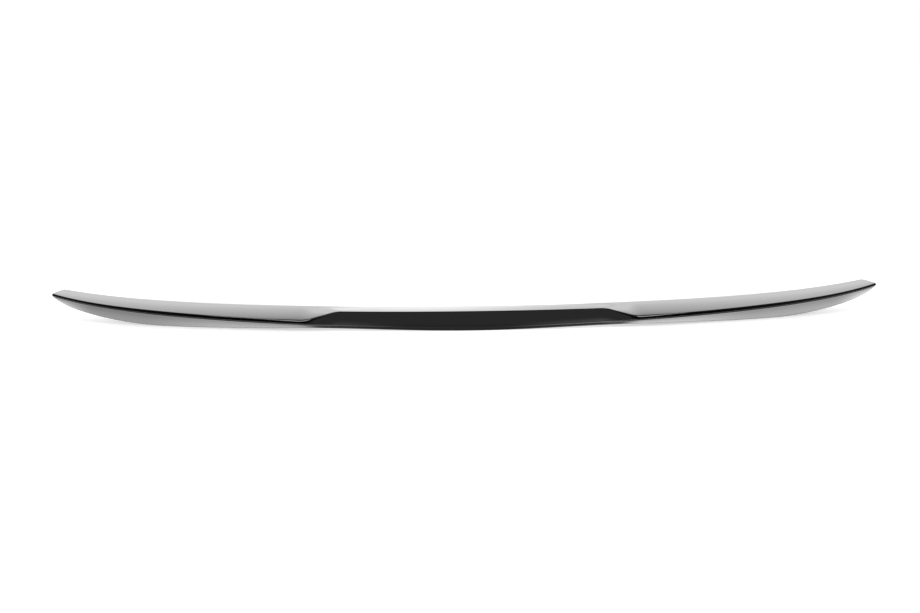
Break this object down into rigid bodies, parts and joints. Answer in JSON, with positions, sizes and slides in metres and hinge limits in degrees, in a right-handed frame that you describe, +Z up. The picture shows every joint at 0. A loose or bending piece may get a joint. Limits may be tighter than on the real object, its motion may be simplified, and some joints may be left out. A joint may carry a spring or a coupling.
{
  "type": "car rear spoiler",
  "caption": "Slim bowed boot-lid spoiler in gloss black: a thin moulded shell, open underneath, with a tall pointed facet in the middle of its rear lip.",
  "frame": {"origin": "middle of the part's box, on the ground that it stands on", "axes": "+X across the car, +Y towards the car's front, +Z up; the lip faces -Y"},
  "size_m": [1.2998, 0.1935, 0.0412],
  "materials": {
    "gloss_black_abs": "gloss black moulded ABS"
  },
  "bodies": {
    "root": {"spoiler_shell": "gloss_black_abs"}
  },
  "joints": []
}
